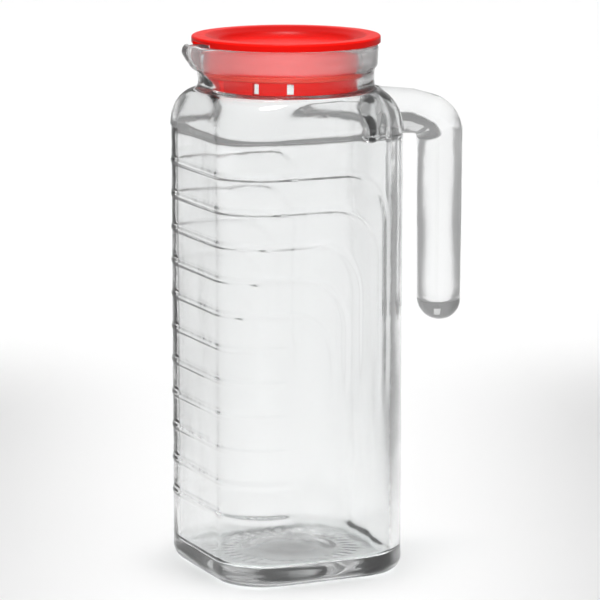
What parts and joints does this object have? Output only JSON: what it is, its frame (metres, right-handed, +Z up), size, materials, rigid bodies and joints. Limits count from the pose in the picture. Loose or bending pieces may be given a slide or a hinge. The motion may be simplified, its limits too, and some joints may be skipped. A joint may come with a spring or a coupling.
{
  "type": "glass water jug",
  "caption": "Square pressed-glass refrigerator jug with an open hook handle, raised line relief and a red plug lid.",
  "frame": {"origin": "on the table under the middle of the mouth", "axes": "+Z up, +X towards the handle, -X towards the pouring lip"},
  "size_m": [0.1413, 0.0924, 0.25],
  "materials": {
    "glass": "clear pressed soda-lime glass",
    "lid_plastic": "red moulded polyethylene, satin gloss",
    "seal": "soft red sealing ring, slightly see-through"
  },
  "bodies": {
    "jug": {"glass_vessel": "glass", "glass_handle": "glass"},
    "seal": {"lid_seal": "seal"},
    "lid": {"lid": "lid_plastic"}
  },
  "joints": [
    {"name": "lid_lift", "type": "slide", "parent": "jug", "child": "seal", "axis": [0, 0, 1], "range_m": [0, 0.11]},
    {"name": "lid_turn", "type": "hinge", "parent": "seal", "child": "lid", "pos_m": [0, 0, 0.234], "axis": [0, 0, 1], "continuous": true}
  ]
}
